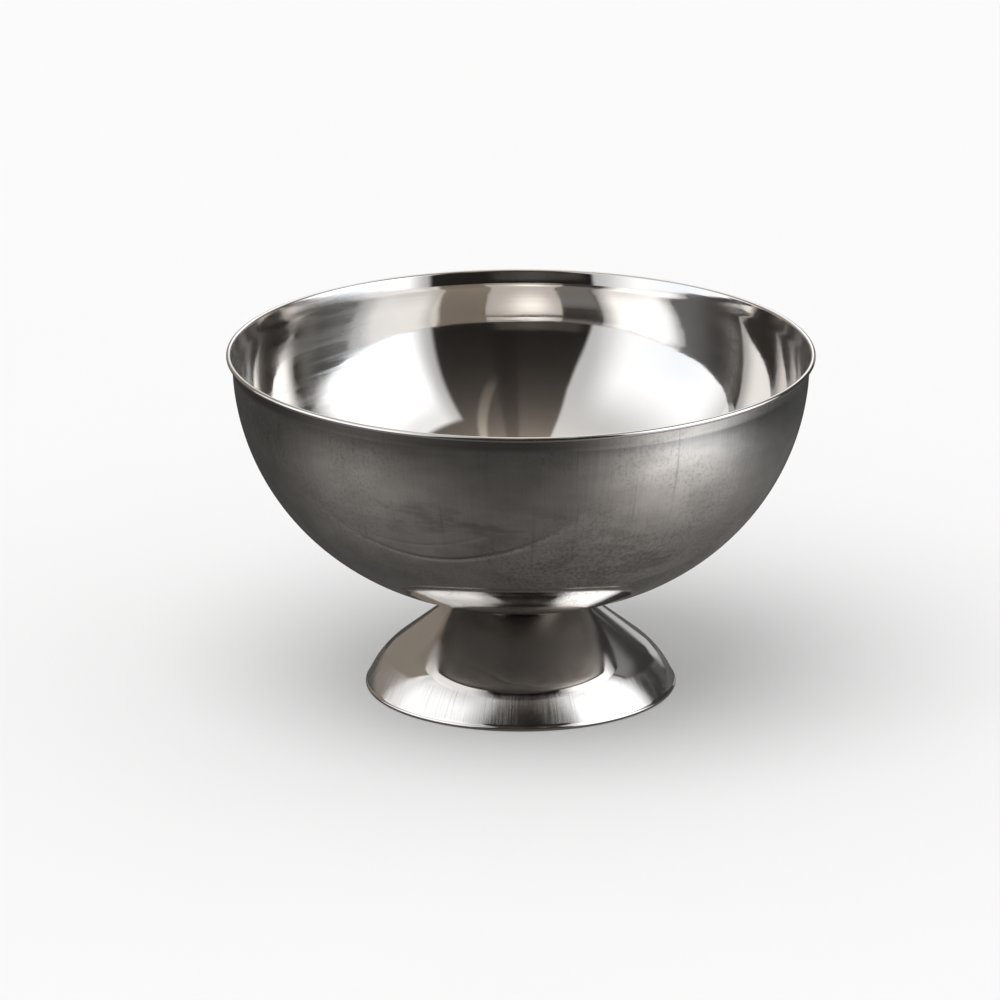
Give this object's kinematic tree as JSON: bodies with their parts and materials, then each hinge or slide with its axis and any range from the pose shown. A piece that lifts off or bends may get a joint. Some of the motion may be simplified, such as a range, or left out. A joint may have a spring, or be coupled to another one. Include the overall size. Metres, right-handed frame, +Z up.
{
  "type": "punch bowl",
  "caption": "Deep round stainless steel punch bowl with a flared, rolled rim, standing on a pressed hollow foot clamped under it by a stud, washers and a nut.",
  "frame": {"origin": "centre of the foot's resting face, on the bowl's axis", "axes": "+Z up along the bowl's axis, out of its mouth; X and Y lie in the resting face and are interchangeable"},
  "size_m": [0.38, 0.3798, 0.225],
  "materials": {
    "drawn_steel": "drawn stainless sheet, polished inside and out, with faint upright draw lines and light patina outside",
    "polished_steel": "mirror-polished stainless sheet with fine scratches near the edge",
    "plated_hardware": "plain stainless fasteners, as machined"
  },
  "bodies": {
    "root": {"bowl_shell": "drawn_steel", "foot": "polished_steel", "weld_stud": "plated_hardware", "broad_washer": "plated_hardware", "spring_washer": "plated_hardware", "hex_nut": "plated_hardware"}
  },
  "joints": []
}
